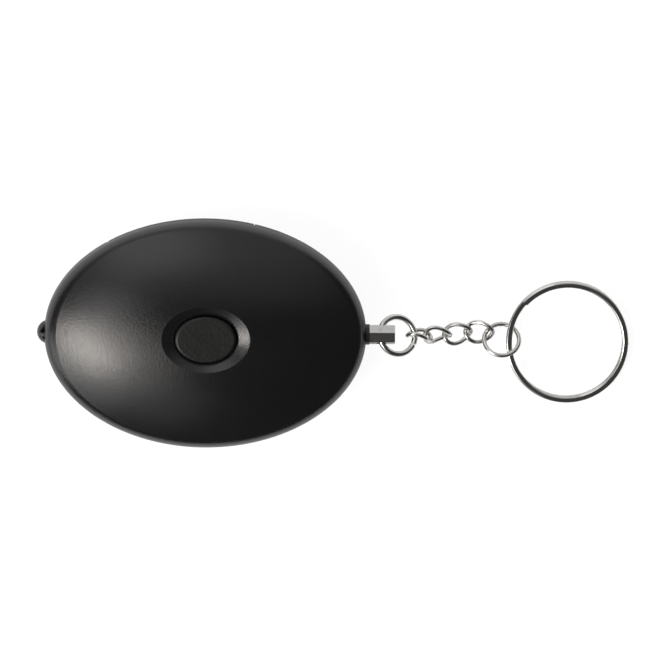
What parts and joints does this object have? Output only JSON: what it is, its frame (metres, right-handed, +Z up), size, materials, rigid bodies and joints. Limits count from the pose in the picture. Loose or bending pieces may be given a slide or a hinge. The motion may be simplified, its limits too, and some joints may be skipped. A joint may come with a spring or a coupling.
{
  "type": "personal safety alarm",
  "caption": "Oval pocket alarm with torch button, lamp and siren; pulling the pin on its key-ring chain sets off the siren.",
  "frame": {"origin": "middle of the flat base of the oval case", "axes": "+X along the case towards the pull pin and chain, lamp at -X; +Z up, out of the button face"},
  "size_m": [0.1216, 0.047, 0.0207],
  "materials": {
    "case_black": "fine-grained satin black",
    "button_black": "fine-textured black",
    "bright_nickel": "bright nickel plate",
    "steel": "plain steel",
    "brass": "plain brass",
    "copper": "copper",
    "board_green": "green solder mask",
    "component_grey": "moulded component bodies",
    "ferrite": "grey ferrite",
    "piezo_white": "silvered ceramic",
    "wire_red": "wire insulation",
    "lens": "clear moulded lens"
  },
  "bodies": {
    "case": {"top_shell": "case_black", "rear_shell": "case_black", "battery_door": "case_black", "pin_bush": "case_black", "door_screw": "steel", "case_screws": "steel", "board_screws": "steel", "lamp_leads": "steel", "cell_1": "steel", "cell_2": "steel", "cell_3": "steel", "battery_spring": "steel", "spring_plate": "steel", "contact_plate": "steel", "piezo_plate": "brass", "leaf_post": "brass", "fixed_contact": "brass", "coil_winding": "copper", "circuit_board": "board_green", "switch_body": "component_grey", "control_chip": "component_grey", "transistor": "component_grey", "chip_resistors": "component_grey", "capacitor": "component_grey", "coil_core": "ferrite", "piezo_ceramic": "piezo_white", "piezo_wires": "wire_red", "lamp": "lens"},
    "torch_button": {"torch_button": "button_black", "switch_plunger": "button_black"},
    "pull_pin": {"pull_pin": "bright_nickel"},
    "switch_leaf": {"switch_leaf": "copper"},
    "pin_ring": {"pin_ring": "bright_nickel"},
    "chain_link_1": {"chain_link_1": "bright_nickel"},
    "chain_link_2": {"chain_link_2": "bright_nickel"},
    "chain_link_3": {"chain_link_3": "bright_nickel"},
    "chain_link_4": {"chain_link_4": "bright_nickel"},
    "connecting_ring": {"connecting_ring": "bright_nickel"},
    "key_ring": {"key_ring": "bright_nickel"}
  },
  "joints": [
    {"name": "button_press", "type": "slide", "parent": "case", "child": "torch_button", "axis": [0, 0, -1], "range_m": [0, 0.0005], "stiffness_N_per_m": 2000},
    {"name": "pin_pull", "type": "slide", "parent": "case", "child": "pull_pin", "axis": [1, 0, 0], "range_m": [0, 0.014]},
    {"name": "leaf_close", "type": "hinge", "parent": "case", "child": "switch_leaf", "pos_m": [0.0096, 0.00125, 0.0105], "axis": [0, 0, -1], "range_deg": [0, 4.3]},
    {"name": "pin_ring_swing", "type": "hinge", "parent": "pull_pin", "child": "pin_ring", "pos_m": [0.0361, 0, 0.0105], "axis": [0, 0.9511, -0.309], "range_deg": [-90, 75]},
    {"name": "chain_link_1_swing", "type": "hinge", "parent": "pin_ring", "child": "chain_link_1", "pos_m": [0.04299, -0.00034, 0.00786], "axis": [-0.1033, 0.9619, -0.253], "range_deg": [-45, 45]},
    {"name": "chain_link_2_swing", "type": "hinge", "parent": "chain_link_1", "child": "chain_link_2", "pos_m": [0.0462, -0.00087, 0.00488], "axis": [0.3982, -0.7051, 0.5868], "range_deg": [-45, 45]},
    {"name": "chain_link_3_swing", "type": "hinge", "parent": "chain_link_2", "child": "chain_link_3", "pos_m": [0.05018, -0.0012, 0.00306], "axis": [0.5145, 0.2258, 0.8272], "range_deg": [-45, 45]},
    {"name": "chain_link_4_swing", "type": "hinge", "parent": "chain_link_3", "child": "chain_link_4", "pos_m": [0.05461, -0.00037, 0.00235], "axis": [0.0354, 0.6831, 0.7295], "range_deg": [-30, 35]},
    {"name": "connecting_ring_swing", "type": "hinge", "parent": "chain_link_4", "child": "connecting_ring", "pos_m": [0.05913, -0.00063, 0.00205], "axis": [0.0783, 0.7638, 0.6407], "range_deg": [-25, 45]},
    {"name": "key_ring_swing", "type": "hinge", "parent": "connecting_ring", "child": "key_ring", "pos_m": [0.06457, -0.00177, 0.00268], "axis": [-0.0892, 0.827, -0.5551], "range_deg": [-25, 12]}
  ],
  "couplings": [
    {"joint": "leaf_close", "follows": "pin_pull", "rad_per_m": 5.236}
  ]
}
